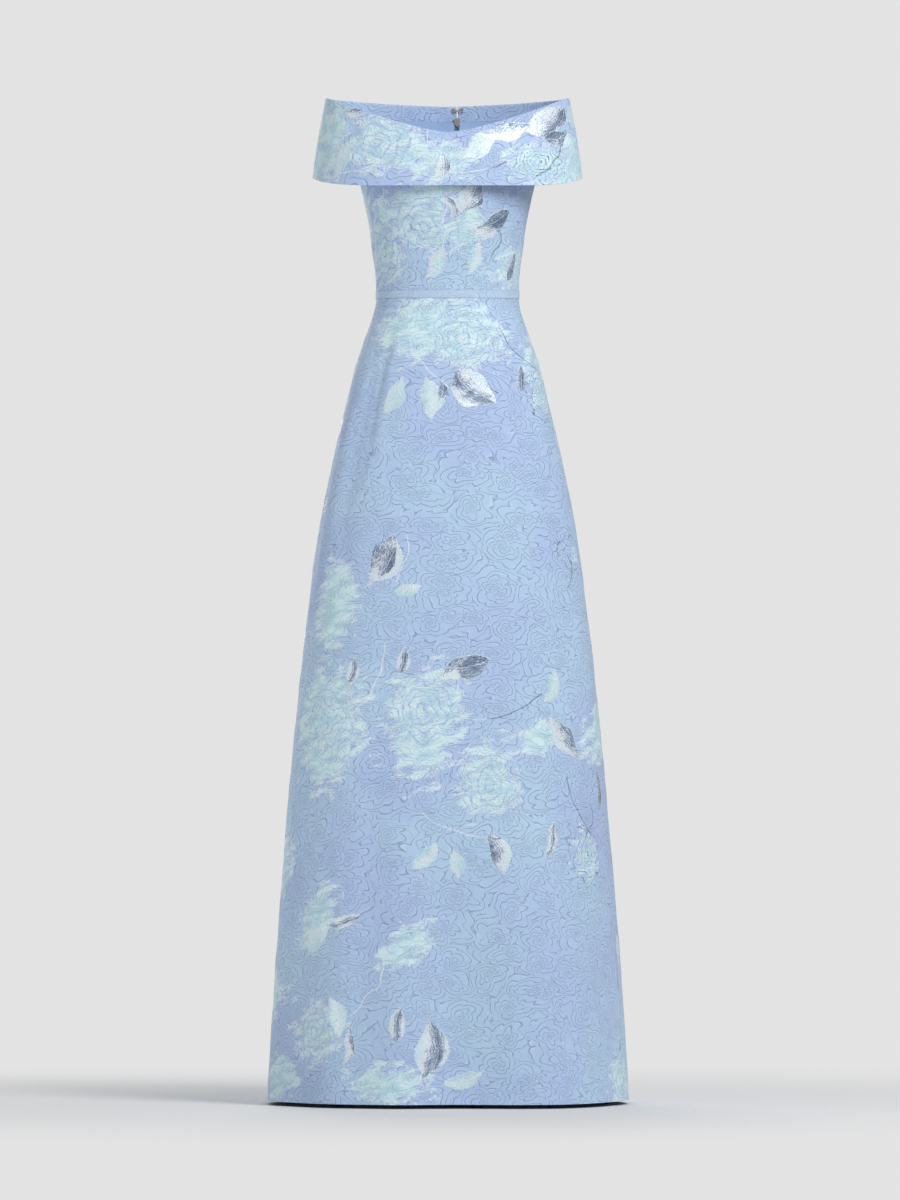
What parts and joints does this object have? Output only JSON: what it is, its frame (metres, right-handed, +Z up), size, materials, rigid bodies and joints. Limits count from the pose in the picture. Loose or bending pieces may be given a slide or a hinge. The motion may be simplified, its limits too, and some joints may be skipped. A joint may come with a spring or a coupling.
{
  "type": "off-the-shoulder gown",
  "caption": "Floor-length gown, hollow as worn, with a fold-over collar round the upper arms, a princess-seamed bodice, a set-in waistband and a flared gored skirt.",
  "frame": {"origin": "middle of the waist, level with the middle of the waistband", "axes": "+X towards the wearer's left, -Y towards the front, +Z up"},
  "size_m": [0.5257, 0.4682, 1.4515],
  "materials": {
    "jacquard": "blistered floral jacquard, pale blue with mint and silver thread",
    "waistband": "the same jacquard, laid flat",
    "lining": "smooth satin",
    "zip_tape": "woven tape with a nylon coil",
    "metal": "nickel with a warm tint"
  },
  "bodies": {
    "gown": {"bodice_front": "jacquard", "bodice_side_left": "jacquard", "bodice_side_right": "jacquard", "bodice_back_left": "jacquard", "bodice_back_right": "jacquard", "skirt_front": "jacquard", "skirt_side_left": "jacquard", "skirt_side_right": "jacquard", "skirt_back_left": "jacquard", "skirt_back_right": "jacquard", "waistband_front": "waistband", "waistband_left": "waistband", "waistband_right": "waistband", "collar_front": "jacquard", "collar_back_left": "jacquard", "collar_back_right": "jacquard", "lining_back_left": "lining", "lining_back_right": "lining", "zip_tape_left": "zip_tape", "zip_tape_right": "zip_tape", "zip_slider": "metal", "hook": "metal", "eye": "metal"},
    "zip_pull": {"zip_pull": "metal"}
  },
  "joints": [
    {"name": "zip_pull_swing", "type": "hinge", "parent": "gown", "child": "zip_pull", "pos_m": [0.014, 0.11139, 0.254], "axis": [1, 0, 0], "range_deg": [0, 150]}
  ]
}
